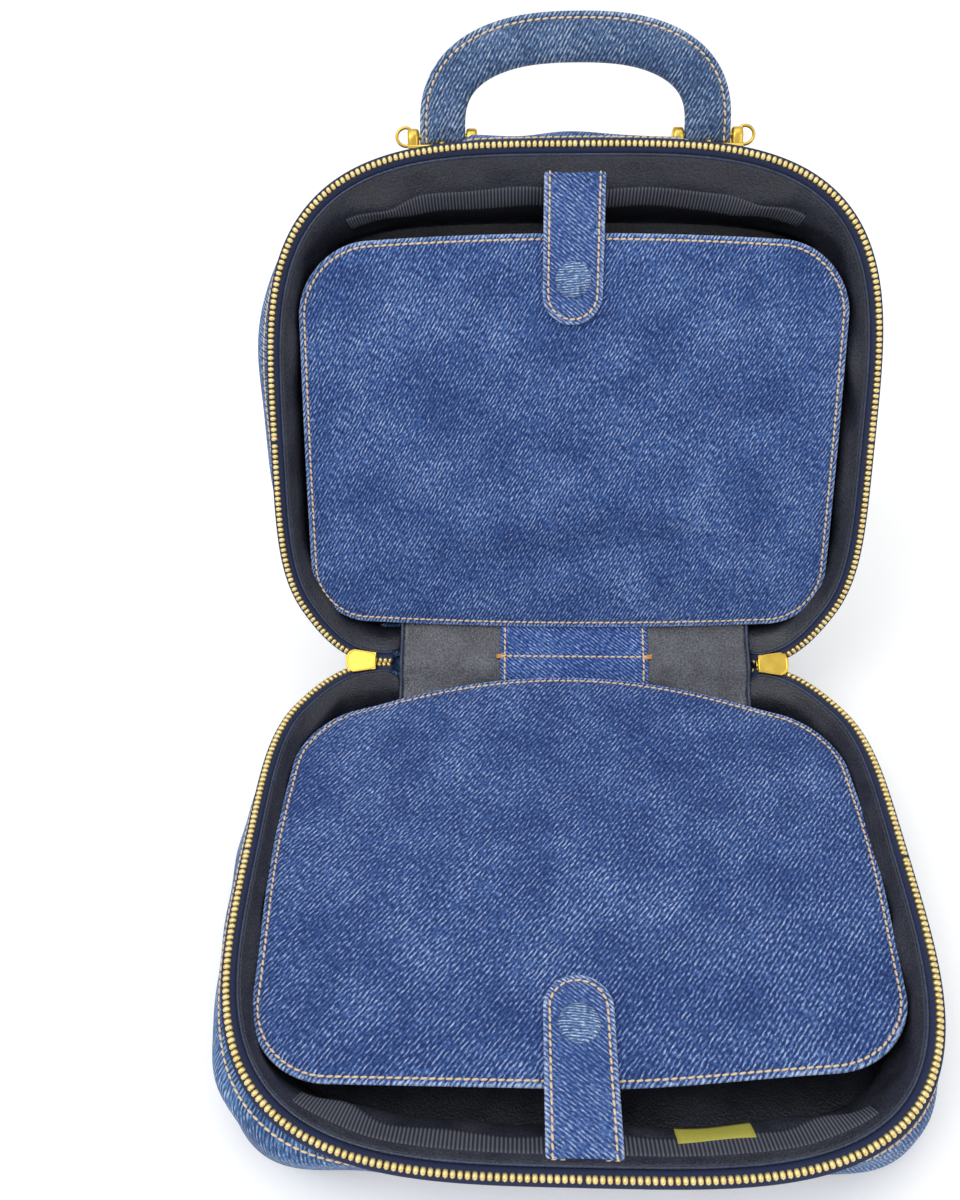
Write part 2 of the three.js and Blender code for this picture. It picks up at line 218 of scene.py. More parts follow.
def denim(name, deep, face, pale, rib_angle, rib=1.5, flecks=0.95, cloud=0.9):
    """Indigo warp-faced cotton twill, stone washed: slanting ribs a real 1.5 mm apart, broken into short pale
    flecks where the dye has worn off the raised yarns, over a slow blotchy fade. Matt, with a faint sheen.
    One fade value, the sum of rib, yarn, blotch and wear, runs from the deep tone through the face to the pale."""
    made, tree = material_named(name)
    uv = add(tree, "UVMap", {}, uv_map="cloth").outputs[0]
    cloth = add(tree, "Mapping", {"Vector": uv, "Scale": (1000, 1000, 1000),
                                  "Rotation": (0, 0, -math.radians(rib_angle))}).outputs[0]
    waver = add(tree, "TexNoise", {"Vector": cloth, "Scale": 0.22, "Detail": 1.0}).outputs[0]
    over = add(tree, "SeparateXYZ", {0: cloth}).outputs[1]
    turns = add(tree, "Math", {0: over, 1: 2 * math.pi / rib}, operation="MULTIPLY").outputs[0]
    phase = add(tree, "Math", {0: waver, 1: 4.0, 2: turns}, operation="MULTIPLY_ADD").outputs[0]
    wave = add(tree, "Math", {0: phase}, operation="SINE").outputs[0]
    crest = add(tree, "MapRange", {0: wave, 1: -1.0, 2: 1.0, 3: -0.5, 4: 0.5}).outputs[0]
    yarns = add(tree, "Mapping", {"Vector": cloth, "Scale": (1 / 2.2, 1 / 0.8, 1)}).outputs[0]
    streak = add(tree, "TexNoise", {"Vector": yarns, "Scale": 1.0, "Detail": 3.0, "Roughness": 0.6}).outputs[0]
    blotch = add(tree, "TexNoise", {"Vector": cloth, "Scale": 1 / 34, "Detail": 4.0, "Roughness": 0.62}).outputs[0]
    worn = add(tree, "Attribute", {}, attribute_name="wear").outputs["Fac"]
    fade = add(tree, "Math", {0: streak, 1: 3.0 * flecks, 2: 0.3 - 1.5 * flecks - 0.5 * cloud},
               operation="MULTIPLY_ADD").outputs[0]
    fade = add(tree, "Math", {0: crest, 1: 0.62 * flecks, 2: fade}, operation="MULTIPLY_ADD").outputs[0]
    fade = add(tree, "Math", {0: blotch, 1: cloud, 2: fade}, operation="MULTIPLY_ADD").outputs[0]
    fade = add(tree, "Math", {0: worn, 1: 0.5, 2: fade}, operation="MULTIPLY_ADD").outputs[0]
    low = add(tree, "MapRange", {0: fade, 1: 0.0, 2: 0.5}).outputs[0]
    high = add(tree, "MapRange", {0: fade, 1: 0.5, 2: 1.25}).outputs[0]
    ground = add(tree, "Mix", {0: low, 6: linear(deep), 7: linear(face)}, data_type="RGBA").outputs[2]
    rubbed = add(tree, "Mix", {0: high, 6: ground, 7: linear(pale)}, data_type="RGBA").outputs[2]
    height = add(tree, "Math", {0: streak, 1: 1.2, 2: crest}, operation="MULTIPLY_ADD").outputs[0]
    bump = add(tree, "Bump", {"Height": height, "Strength": 0.55, "Distance": 0.00018}).outputs[0]
    shader = add(tree, "BsdfPrincipled", {"Base Color": rubbed, "Roughness": 0.88, "Normal": bump,
                                          "Sheen Weight": 0.12, "Specular IOR Level": 0.3}).outputs[0]
    add(tree, "OutputMaterial", {0: shader})
    return made


def stitches(name, *runs, material, length=3.0, gap=0.25, thick=1.05):
    """Sewing thread along runs of (points, up) in metres: one capsule a stitch, its radius the square root of
    1 - s² along it, turned a few degrees off the seam as a lock stitch lies. Sizes in mm."""
    s = np.linspace(-1, 1, 6)[:, None]
    turn = np.linspace(0, 2 * np.pi, 7)[None, :]
    radius = thick / 2 * np.sqrt(np.clip(1 - s**4, 0, 1))
    unit = np.stack(np.broadcast_arrays(s * length / 2 + 0 * turn, radius * np.cos(turn), 0.8 * radius * np.sin(turn)),
                    -1)
    grids = []
    for points, up in runs:
        run = np.concatenate([[0], np.cumsum(np.linalg.norm(np.diff(points, axis=0), axis=1))]) / MM
        count = max(1, int(round(run[-1] / (length + gap))))
        mid = (np.arange(count) + 0.5) * run[-1] / count
        look = [np.stack([np.interp(mid + shift, run, points[:, k]) for k in range(3)], -1) for shift in (-0.6, 0, 0.6)]
        along = look[2] - look[0]
        along /= np.linalg.norm(along, axis=1, keepdims=True)
        ups = np.broadcast_to(up, points.shape)
        over = np.stack([np.interp(mid, run, ups[:, k]) for k in range(3)], -1)
        aside = np.cross(over, along)
        aside /= np.linalg.norm(aside, axis=1, keepdims=True)
        over = np.cross(along, aside)
        slant = along + 0.13 * aside
        aside = aside - 0.13 * along
        axes = np.stack([slant, aside, over], 1)
        grids.append(look[1][:, None, None, :] + MM * np.einsum("rck,nkj->nrcj", unit, axes))
    points = np.concatenate(grids)
    return surface(name, (points, np.zeros(points.shape[1:3] + (2,))), material=material)


def thread(name, tint, shade):
    """Spun polyester topstitch thread: two plies whose lay shows as fine light and dark slants, half matt."""
    made, tree = material_named(name)
    where = add(tree, "TexCoord", {}).outputs["Object"]
    plies = add(tree, "TexNoise", {"Vector": where, "Scale": 900.0, "Detail": 2.0}).outputs[0]
    tone = add(tree, "Mix", {0: plies, 6: linear(shade), 7: linear(tint)}, data_type="RGBA").outputs[2]
    bump = add(tree, "Bump", {"Height": plies, "Strength": 0.4, "Distance": 0.0002}).outputs[0]
    shader = add(tree, "BsdfPrincipled", {"Base Color": tone, "Roughness": 0.6, "Normal": bump}).outputs[0]
    add(tree, "OutputMaterial", {0: shader})
    return made


shell_denim = denim("stone_washed_denim", "#1a3060", "#3f6a9e", "#bccfe6", 62, cloud=1.2)
tan_thread = thread("tan_topstitch_thread", "#eedab8", "#c7a273")
gold_thread = thread("gold_topstitch_thread", "#e2a860", "#b57a35")

SHELL_OUT = [  # inset, share of the bulge, near, far and down, from the outer panel to the turned-in edge
    (9, 0, 2, 10, 45), (4.5, 0, 2.5, 10, 43.8), (1, 0.35, 3.5, 10.5, 40), (-1, 0.85, 4, 10.5, 32),
    (-1.2, 1, 4, 9, 23), (-1.2, 1, 3.5, 6, 14.5), (-0.8, 0.65, 2.5, 2.6, 8), (0.3, 0.2, 1, 0.4, 4),
    (2.4, 0, 0.4, 0, 2.6), (5, 0, 0.6, 0, 3.6)]
around, around_length = even_angles(441)


def bulge(side, x, y):
    """How far the wall swells out, in mm. The lower half, which lies on it, swells along both sides and round
    the corners by the handle; the upper half swells half way up its sides and between the brackets."""
    if side == "lower":
        middle = smoothstep(y, 200, 238) * smoothstep(-np.abs(x), -115, -50)
        leaning = 1.6 + 4.4 * smoothstep(y, 25, 110) * smoothstep(-x, -20, 60)
        return (leaning + 2.8 * smoothstep(y, 170, 222) * smoothstep(np.abs(x), 50, 110)) * (1 - middle)
    between = smoothstep(y, 200, 222) * smoothstep(-np.abs(x), -56, -46)
    return 1.2 + (4.2 - 2.8 * smoothstep(x, -20, 60)) * 1.6 * np.exp(-((y - 148) / 46) ** 2) + 5.0 * between


def shell_wall(side, offset):
    """The wall's section carried round the zip line, uneven by up to 1 mm where nothing holds it."""
    rows = through(SHELL_OUT, 56)
    inset, share, near, far, down = (rows[:, k, None] for k in range(5))
    line_x, line_y = zip_line(around[None, :])
    far = far * (smoothstep(-np.abs(line_x), -138, -75) if side == "lower" else 0.35 + 0 * line_x)
    free = smoothstep(down, 4, 14) * smoothstep(-down, -44, -34)
    soft = 1.0 * free * ripple(line_x + 0.5 * down, line_y + 0.8 * down, 46, 3 + (side == "upper"))
    inset = inset - share * bulge(side, line_x, line_y) - soft
    return rim(around[None, :], inset + offset, down, near, far)


for side in SIDES:
    out_x, out_y, out_down = shell_wall(side, 0)
    in_x, in_y, in_down = shell_wall(side, 1.4)
    in_down = np.minimum(in_down, DEPTH - 1.4)
    wall = place(side, out_x, out_y, out_down)
    climb = np.cumsum(np.r_[0, np.linalg.norm(np.diff(wall[:, 0], axis=0), axis=1)])[:, None]
    wall_cloth = np.stack(np.broadcast_arrays(around_length * MM, climb), -1)
    lining_side = place(side, in_x, in_y, in_down)[::-1]
    shrink = np.linspace(0, 1, 12)[:, None]
    panel_x, panel_y = shrink * out_x[0], 120 + shrink * (out_y[0] - 120)
    panel = place(side, panel_x, panel_y, DEPTH)
    board_x, board_y = shrink * in_x[0], 120 + shrink * (in_y[0] - 120)
    board_side = place(side, board_x, board_y, DEPTH - 1.4)[::-1]
    edge = np.stack([wall[-1], lining_side[0]])
    shell = surface(
        f"{side}_denim_shell",
        (panel, MM * np.stack([panel_x, panel_y], -1)), (wall, wall_cloth), (edge, wall_cloth[-2:]),
        (lining_side, wall_cloth[::-1]), (board_side, MM * np.stack([board_x, board_y], -1)[::-1]),
        material=shell_denim)
    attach(shell, f"{side}_case")
    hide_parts(f"{side}_shell")

    # One row of thread holds the zip tape, 6 mm below the teeth, and another the outer panel's seam.
    seam_runs = []
    for row in (np.argmin(np.abs(out_down[:, 220] - 6.5)), np.argmin(np.abs(out_down[:, 220] - 42.8))):
        path = wall[row]
        slope = wall[row + 1] - wall[row - 1]
        outwards = np.cross(slope, np.gradient(path, axis=0))
        outwards *= np.sign(np.sum(outwards * (path - place(side, 0.0, 120.0, 20.0)), 1, keepdims=True))
        outwards /= np.linalg.norm(outwards, axis=1, keepdims=True)
        seam_runs.append((path + 0.2 * MM * outwards, outwards))
    sewn = stitches(f"{side}_shell_stitching", *seam_runs, material=tan_thread)
    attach(sewn, f"{side}_case")

# ---- board and foam inside the walls ----
# A pressed fibre board stiffens the outer panel and a strip of open-cell foam fills the wall. Both are shut
# in between the denim and the lining, so only their own plain finish matters.
def filler(name, light, dark, grain, roughness):
    """Fibre board shows long pressed fibres and foam its cells; both as noise of a given grain in mm."""
    made, tree = material_named(name)
    where = add(tree, "TexCoord", {}).outputs["Object"]
    cells = add(tree, "TexNoise", {"Vector": where, "Scale": 1000 / grain, "Detail": 3.0}).outputs[0]
    tone = add(tree, "Mix", {0: cells, 6: linear(dark), 7: linear(light)}, data_type="RGBA").outputs[2]
    bump = add(tree, "Bump", {"Height": cells, "Strength": 0.5, "Distance": 0.0003}).outputs[0]
    shader = add(tree, "BsdfPrincipled", {"Base Color": tone, "Roughness": roughness, "Normal": bump}).outputs[0]
    add(tree, "OutputMaterial", {0: shader})
    return made


def finish_node(node, made):
    """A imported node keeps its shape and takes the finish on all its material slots."""
    mesh = frame["nodes"][node].data
    mesh.materials.clear()
    mesh.materials.append(made)


fibre = filler("pressed_fibre_board", "#9c8768", "#7a6647", 3.0, 0.9)
cells = filler("open_cell_foam", "#d6d2c6", "#b5b0a2", 1.2, 0.95)
for side in SIDES:
    finish_node(f"{side}_stiffener_board", fibre)

# ---- linings ----
# Coated cloth with a fine leather grain lines each half as a loose tray. Its wall hangs from the piping,
# bags a little and folds at the corners by the handle.
def grained(name, tint, shade, roughness=0.42, grain=0.9):
    """Polyurethane-coated cloth embossed with a pebble grain 0.9 mm across: near black with a blue cast, soft
    sheen on the crowns and duller in the creases."""
    made, tree = material_named(name)
    where = add(tree, "TexCoord", {}).outputs["Object"]
    pebble = add(tree, "TexVoronoi", {"Vector": where, "Scale": 1000 / grain}, feature="SMOOTH_F1").outputs[0]
    scuff = add(tree, "TexNoise", {"Vector": where, "Scale": 1000 / 14, "Detail": 4.0}).outputs[0]
    tone = add(tree, "Mix", {0: scuff, 6: linear(shade), 7: linear(tint)}, data_type="RGBA").outputs[2]
    # A fine speckle, 0.7 of the grain across, lightens and darkens the tone.
    speckle = add(tree, "TexNoise", {"Vector": where, "Scale": 1000 / (0.7 * grain), "Detail": 2.0}).outputs[0]
    speckle = add(tree, "MapRange", {0: speckle, 1: 0.4, 2: 0.66, 3: 0.6, 4: 1.7}).outputs[0]
    tone = add(tree, "VectorMath", {0: tone, "Scale": speckle}, operation="SCALE").outputs[0]
    rough = add(tree, "MapRange", {0: scuff, 1: 0.3, 2: 0.7, 3: roughness - 0.08, 4: roughness + 0.12}).outputs[0]
    bump = add(tree, "Bump", {"Height": pebble, "Strength": 0.7, "Distance": 0.0003}).outputs[0]
    shader = add(tree, "BsdfPrincipled", {"Base Color": tone, "Roughness": rough, "Normal": bump,
                                          "IOR": 1.5}).outputs[0]
    add(tree, "OutputMaterial", {0: shader})
    return made


lining_leather = grained("black_coated_lining", "#30323d", "#15161e")
LINING_OUT = [  # inset, near, far and down, from the floor to the edge under the piping
    (22, 2, 20, 40.6), (17, 2, 21, 40.4), (13.5, 2, 20, 37), (11, 2, 18.5, 28), (9.6, 2, 15.5, 18),
    (8.2, 1.5, 9.5, 10.5), (6.4, 0.5, 3.5, 5.4), (5.0, 0, 0.4, 2.9), (4.2, 0, 0, 2.5)]


def lining_wall(offset):
    """The lining's section carried round, pushed in by slow bags of 1.6 mm and by sharper folds that run down
    from the corners by the handle."""
    rows = through(LINING_OUT, 48)
    inset, near, far, down = (rows[:, k, None] for k in range(4))
    x, y, _ = rim(around[None, :], inset, down, near, far)
    free = smoothstep(down, 3.0, 9) * smoothstep(-down, -39, -30)
    corner = smoothstep(np.abs(x), 55, 95) * smoothstep(y, 150, 200)
    fold = np.abs(np.sin(np.abs(x) * 0.07 + y * 0.045 + down * 0.13)) ** 4
    bag = free * (0.6 + 0.9 * ripple(x + down, y - down, 34, 11) + 4.5 * corner * fold)
    return rim(around[None, :], inset + offset + bag, down, near, far)


for side in SIDES:
    out_x, out_y, out_down = lining_wall(0)
    in_x, in_y, in_down = lining_wall(0.9)
    in_down = np.minimum(in_down, 39.8) + 0.4
    shrink = np.linspace(0, 1, 12)[:, None]
    grids = []
    for x, y, down, way in ((out_x, out_y, out_down, 1), (in_x, in_y, in_down - 0.9, -1)):
        floor_x, floor_y = shrink * x[0], 120 + shrink * (y[0] - 120)
        sheet_x, sheet_y = np.vstack([floor_x, x]), np.vstack([floor_y, y])
        sheet_down = np.vstack([floor_x * 0 + down[0], down])
        grids.append(place(side, sheet_x, sheet_y, sheet_down)[::way])
    points = np.vstack(grids)
    tray = surface(f"{side}_lining_tray", (points, points[..., :2]), material=lining_leather)
    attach(tray, f"{side}_case")
    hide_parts(f"{side}_lining")

# The foam fills the wall between the denim and the lining.
for side in SIDES:
    outer = np.stack(shell_wall(side, 2.4), -1)[::4]
    inner = np.stack(lining_wall(-0.9), -1)[::4]
    outer = outer[(outer[:, 0, 2] > 8) & (outer[:, 0, 2] < 42)]
    inner = inner[(inner[:, 0, 2] > 10) & (inner[:, 0, 2] < 39)]
    section = np.concatenate([outer, inner[::-1], outer[:1]])
    points = place(side, section[..., 0], section[..., 1], section[..., 2])
    foam_wall = surface(f"{side}_foam_wall", (points, points[..., :2]), material=cells)
    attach(foam_wall, f"{side}_case")
    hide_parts(f"{side}_wall_foam")

# ---- ribbed bands ----
# A woven grosgrain band, black, is sewn along the inside of the wall. Its weft ribs run across its width.
def grosgrain(name, tint, shade, pitch):
    """Woven grosgrain: raised weft ribs a real 1.3 mm apart across the band, dull black-blue, with a painted
    highlight on each rib's crest and painted shade between the ribs."""
    made, tree = material_named(name)
    uv = add(tree, "UVMap", {}, uv_map="cloth").outputs[0]
    along = add(tree, "SeparateXYZ", {0: uv}).outputs[0]
    turns = add(tree, "Math", {0: along, 1: 2 * math.pi / (pitch * MM)}, operation="MULTIPLY").outputs[0]
    rib = add(tree, "Math", {0: turns}, operation="SINE").outputs[0]
    # Painted highlight and shade: the colour runs from the dark shade between the ribs to the light tint on their
    # crests.
    crest = add(tree, "MapRange", {0: rib, 1: -0.6, 2: 1.0}).outputs[0]
    tone = add(tree, "Mix", {0: crest, 6: linear(shade), 7: linear(tint)}, data_type="RGBA").outputs[2]
    bump = add(tree, "Bump", {"Height": crest, "Strength": 0.8, "Distance": 0.0003}).outputs[0]
    shader = add(tree, "BsdfPrincipled", {"Base Color": tone, "Roughness": 0.7, "Normal": bump}).outputs[0]
    add(tree, "OutputMaterial", {0: shader})
    return made


def capped(grid):
    """A grid of loops with a row added at each end, drawn in to the loop's middle."""
    ends = [np.broadcast_to(grid[k, :-1].mean(0), grid[k].shape)[None] for k in (0, -1)]
    return np.concatenate([ends[0], grid, ends[1]])


band_cloth = grosgrain("black_grosgrain_band", "#565a69", "#17181f", 1.6)
BAND = {"lower": (3.6, 9.4), "upper": (9.5, 19.0)}
far_wall = np.flatnonzero((zip_line(around)[1] > 170) & (np.abs(zip_line(around)[0]) < 112))


def on_lining(side, top, low, columns, stand):
    """A strip that lies on the lining from down = top to low along some columns of its grid, raised stand mm,
    closed by its own back. Returns points and cloth coordinates."""
    face, back = np.stack(lining_wall(stand), -1), np.stack(lining_wall(0.5), -1)
    middle = face[:, columns[len(columns) // 2], 2]
    rows = np.flatnonzero((middle > top) & (middle < low) & (np.arange(len(middle)) > 8))
    face, back = (np.swapaxes(grid[np.ix_(rows, columns)], 0, 1) for grid in (face, back))
    loop = np.concatenate([face, back[:, ::-1], face[:, :1]], 1)
    along = around_length[columns][:, None] * MM + 0 * loop[..., 0]
    cloth = np.stack([along, loop[..., 2] * MM], -1)
    return capped(place(side, loop[..., 0], loop[..., 1], loop[..., 2])), np.concatenate([cloth[:1], cloth, cloth[-1:]])


for side in SIDES:
    band = surface(f"{side}_grosgrain_band", on_lining(side, *BAND[side], far_wall, 2.5), material=band_cloth)
    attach(band, f"{side}_case")
    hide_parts(f"{side}_seam_ribbon")

# ---- zip tapes and piping ----
# A navy woven tape carries the teeth and is sewn under a thin piped cord. Both run from one side of the hinge
# round to the other, and the tapes end under the leather hinge panel.
ZIP_START = 88.0
zip_angle = -math.acos((ZIP_START / HALF_WIDTH) ** (NEAR_POWER / 2))
along_zip, zip_length = even_angles(601, zip_angle, math.pi - 2 * zip_angle)


def woven_tape(name, tint, shade):
    """Polyester zip tape: a close herringbone drawn as two crossed fine waves 0.9 mm apart, dull navy."""
    made, tree = material_named(name)
    uv = add(tree, "UVMap", {}, uv_map="cloth").outputs[0]
    weave = add(tree, "Mapping", {"Vector": uv, "Scale": (1000 / 0.9, 1000 / 0.9, 1)}).outputs[0]
    picks = add(tree, "TexChecker", {"Vector": weave, "Scale": 2.0}).outputs[1]
    fuzz = add(tree, "TexNoise", {"Vector": weave, "Scale": 1.5, "Detail": 2.0}).outputs[0]
    tone_at = add(tree, "Math", {0: picks, 1: 0.4, 2: fuzz}, operation="MULTIPLY_ADD").outputs[0]
    tone = add(tree, "Mix", {0: tone_at, 6: linear(shade), 7: linear(tint)}, data_type="RGBA").outputs[2]
    bump = add(tree, "Bump", {"Height": tone_at, "Strength": 0.4, "Distance": 0.0001}).outputs[0]
    shader = add(tree, "BsdfPrincipled", {"Base Color": tone, "Roughness": 0.8, "Normal": bump}).outputs[0]
    add(tree, "OutputMaterial", {0: shader})
    return made


tape_cloth = woven_tape("navy_zip_tape", "#1f2b52", "#0b1024")
piping_leather = grained("navy_piping_leather", "#36435f", "#151c2e", 0.3, 0.7)
TAPE_SECTION = np.array([(-2.2, 2.2), (-2.3, 2.8), (-0.6, 2.6), (4.4, 3.0), (4.4, 2.3), (-0.6, 1.7), (-2.2, 2.2)])
PIPING_INSET, PIPING_DOWN, PIPING_RADIUS = 4.5, 1.9, 0.6
ring = np.linspace(0, 2 * np.pi, 9)
PIPING_SECTION = np.stack([PIPING_INSET + PIPING_RADIUS * np.cos(ring), PIPING_DOWN + PIPING_RADIUS * np.sin(ring)], 1)


def zip_strip(side, section):
    """A closed section of (inset, down) carried along the zip, with its ends shut."""
    x, y, down = rim(along_zip[:, None], section[None, :, 0], section[None, :, 1])
    grid = capped(place(side, x, y, down))
    ways = np.concatenate([[0], np.cumsum(np.linalg.norm(np.diff(section, axis=0), axis=1))]) * MM
    lengths = np.r_[zip_length[0], zip_length, zip_length[-1]] * MM
    return grid, np.stack(np.broadcast_arrays(lengths[:, None], ways[None, :]), -1)


for side in SIDES:
    for name, section, made, slot in (("zip_tape", TAPE_SECTION, tape_cloth, "zip_tape"),
                                      ("piping", PIPING_SECTION, piping_leather, "piping")):
        strip = surface(f"{side}_{name}_strip", zip_strip(side, section), material=made)
        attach(strip, f"{side}_case")
        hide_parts(f"{side}_{name}")

# ---- zip teeth ----
# Stamped brass teeth, one every 2.6 mm, clinched on the edge of the tape, with rounded heads. Between the
# sliders and the hinge panel the two rows mesh.
def polished(name, tint, shade, roughness):
    """Brass, stamped or die-cast and tumbled bright: warm gold mirror with fine dull specks and a faint
    darkening where the polish has gone."""
    made, tree = material_named(name)
    where = add(tree, "TexCoord", {}).outputs["Object"]
    film = add(tree, "TexNoise", {"Vector": where, "Scale": 160.0, "Detail": 2.0}).outputs[0]
    tone = add(tree, "Mix", {0: film, 6: linear(shade), 7: linear(tint)}, data_type="RGBA").outputs[2]
    rough = add(tree, "MapRange", {0: film, 1: 0.3, 2: 0.7, 3: roughness, 4: roughness + 0.14}).outputs[0]
    shader = add(tree, "BsdfPrincipled", {"Base Color": tone, "Roughness": rough, "Metallic": 1.0}).outputs[0]
    add(tree, "OutputMaterial", {0: shader})
    return made


tooth_brass = polished("tumbled_brass_teeth", "#fbeeb4", "#dcbd72", 0.36)
gold_plate = polished("bright_gold_plate", "#e8c85e", "#d2ac45", 0.22)
TOOTH_PITCH = 2.6


def rounded(length, width, height, power=3.0, rows=6, cols=8):
    """A superellipsoid block: latitudes and longitudes with sines and cosines raised to 2/power."""
    lat = np.linspace(-np.pi / 2, np.pi / 2, rows)[:, None]
    lon = np.linspace(0, 2 * np.pi, cols + 1)[None, :]
    bend = lambda v: np.sign(v) * np.abs(v) ** (2 / power)
    return np.stack(np.broadcast_arrays(length / 2 * bend(np.cos(lat)) * bend(np.cos(lon)),
                                        width / 2 * bend(np.cos(lat)) * bend(np.sin(lon)),
                                        height / 2 * bend(np.sin(lat))), -1)


tooth = rounded(2.3, 3.2, 3.2, 2.7)
for side, meshing in (("lower", 0.0), ("upper", 0.5)):
    count = int(zip_length[-1] / TOOTH_PITCH)
    mid = (np.arange(count) + 0.5 + meshing / 2) * TOOTH_PITCH
    at = np.interp(mid, zip_length, along_zip)
    centre = place(side, *rim(at, 0.1, 1.8))
    ahead = place(side, *rim(np.interp(mid + 0.5, zip_length, along_zip), 0.1, 1.8))
    along = (ahead - centre) / np.linalg.norm(ahead - centre, axis=1, keepdims=True)
    up = np.broadcast_to(facing(side), along.shape)
    axes = np.stack([along, np.cross(up, along), up], 1)
    teeth = centre[:, None, None, :] + MM * np.einsum("rck,nkj->nrcj", tooth, axes)
    row = surface(f"{side}_zip_teeth_row", (teeth, np.zeros(tooth.shape[:2] + (2,))), material=tooth_brass)
    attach(row, f"{side}_case")
    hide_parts(f"{side}_zip_teeth")
for way in ("left", "right"):
    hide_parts(f"zip_chain_{way}")

# ---- sliders ----
# Die-cast and gold plated: two shield-shaped plates joined by a post, a bail on the outer plate and a flat
# pull that hangs behind. The plate that faces the inside has a raised border and no lettering.
SLIDER_LONG, SLIDER_WIDE, SLIDER_NARROW = 15.5, 6.2, 4.4


def shield(rows, turned, side_x):
    """A shield plate as rings of (share, height): the outline |v| = its half width, which widens from the
    narrow end and rounds off at the wide one, drawn in by each ring's share of the way to the middle."""
    t = np.linspace(0, 2 * np.pi, 49)
    c, s = np.cos(t), np.sin(t)
    x = SLIDER_LONG / 2 * np.sign(c) * np.abs(c) ** 0.45
    half = np.interp(x, [-SLIDER_LONG / 2, SLIDER_LONG / 2 - 3.5, SLIDER_LONG / 2], [SLIDER_NARROW, SLIDER_WIDE, 4.2])
    y = half * np.sign(s) * np.abs(s) ** 0.4
    rows = np.array(rows)
    grid = np.stack(np.broadcast_arrays(x * rows[:, :1], y * rows[:, :1], rows[:, 1:2] + 0 * x), -1)
    if turned:
        grid = grid * [-1, -1, 1]
    tilt = math.radians(90 - OPEN_ANGLE / 2)
    across = np.array([1, 0, 0])
    over = np.array([0, math.cos(tilt), math.sin(tilt)])
    out = np.array([0, -math.sin(tilt), math.cos(tilt)])
    base = HINGE + MM * side_x * across
    return base + MM * (grid[..., :1] * across + grid[..., 1:2] * over + grid[..., 2:] * out)


for name, way in (("left", -1), ("right", 1)):
    inner = [(0, 2.7), (0.5, 2.7), (0.78, 2.7), (0.84, 3.1), (0.93, 3.2), (0.985, 2.9), (1, 2.4), (1, 1.8),
             (0.96, 1.4), (0.5, 1.4), (0, 1.4)]
    outer = [(0, -3.1), (0.9, -3.1), (0.98, -2.8), (1, -2.3), (0.98, -1.7), (0.9, -1.5), (0, -1.5)]
    post = [(0, -2.0), (0.28, -2.0), (0.28, 0), (0.28, 2.0), (0, 2.0)]
    plates = [shield(rows, way < 0, way * SLIDER_X) for rows in (inner, outer, post)]
    body = surface(f"slider_{name}_casting", *[(p, np.zeros(p.shape[:2] + (2,))) for p in plates],
                   material=gold_plate)
    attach(body, f"slider_{name}")
    finish_node(f"slider_{name}", gold_plate)
    finish_node(f"pull_{name}", gold_plate)

# ---- hinge ----
# Black coated cloth bridges the two halves between the sliders, with a denim strap stitched over its middle
# and a denim cover outside.
PANEL_X, STRAP_X, STRAP_MIDDLE = 88.5, 37.5, 4.2


def fold(lower_points, upper_points, count=49):
    """A section across the hinge: a Catmull-Rom curve through points (away, down) on the lower half, from the
    furthest in to the hinge line, and then out on the upper. Returned as offsets from the hinge in metres."""
    on_lower = [place("lower", 0.0, *point) - HINGE for point in lower_points]
    on_upper = [place("upper", 0.0, *point) - HINGE for point in upper_points]
    return through(on_lower + on_upper, count)


def bridge(name, half_x, section, thick, made, swell=0.0, seed=0, cols=49):
    """A sheet of the given thickness across the hinge: the section carried along x, closed with its own back
    and edges, and lifted by a soft unevenness."""
    slope = np.gradient(section, axis=0)
    normal = np.cross([1, 0, 0], slope)
    normal /= np.linalg.norm(normal, axis=1, keepdims=True)
    if normal[:, 2].mean() < 0:
        normal = -normal
    x = STRAP_MIDDLE + np.linspace(-half_x, half_x, cols)
    run = np.r_[0, np.cumsum(np.linalg.norm(np.diff(section, axis=0), axis=1))]
    lift = swell * ripple(x[None, :], run[:, None] / MM, 22, seed)
    top = HINGE + section[:, None] + MM * (x[None, :, None] * np.array([1, 0, 0]) + lift[..., None] * normal[:, None])
    back = top - MM * thick * normal[:, None]
    loop = np.concatenate([top, back[:, ::-1], top[:, :1]], 1)
    ways = np.r_[x, x[::-1] + 0.5, x[0]] * MM
    grid = np.concatenate([0.5 * (loop[:1] + loop[:1, ::-1]), loop, 0.5 * (loop[-1:] + loop[-1:, ::-1])])
    grid[0] = np.concatenate([0.5 * (top[0] + back[0]), 0.5 * (top[0] + back[0])[::-1], 0.5 * (top[0] + back[0])[:1]])
    grid[-1] = np.concatenate([0.5 * (top[-1] + back[-1]), 0.5 * (top[-1] + back[-1])[::-1],
                               0.5 * (top[-1] + back[-1])[:1]])
    runs = np.r_[run[0], run, run[-1]]
    return surface(name, (grid, np.stack(np.broadcast_arrays(ways[None, :], runs[:, None]), -1)), material=made)


def hinge_cloth(piece):
    """Bakes the piece's placement into its mesh."""
    place("lower", 0.0, 8.0, 1.0)
    place("upper", 0.0, 8.0, 1.0)
    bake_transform(piece)


flap_denim = {"upper": denim("dark_indigo_denim", "#172a5c", "#3a5d9a", "#b8cae8", 60),
              "lower": denim("coarse_indigo_denim", "#172a5c", "#375894", "#b8cae8", 53, rib=1.75)}
strap_denim = denim("indigo_strap_denim", "#182e68", "#3d60a2", "#b8cae8", -38)
# Painted sheen: this near-black leather's light tone, #62646e, is mid grey, so where the scuff noise is high the panel
# is painted with sheen.
panel_leather_painted_sheen = grained("black_hinge_leather", "#62646e", "#1c1e26", 0.34, 1.1)

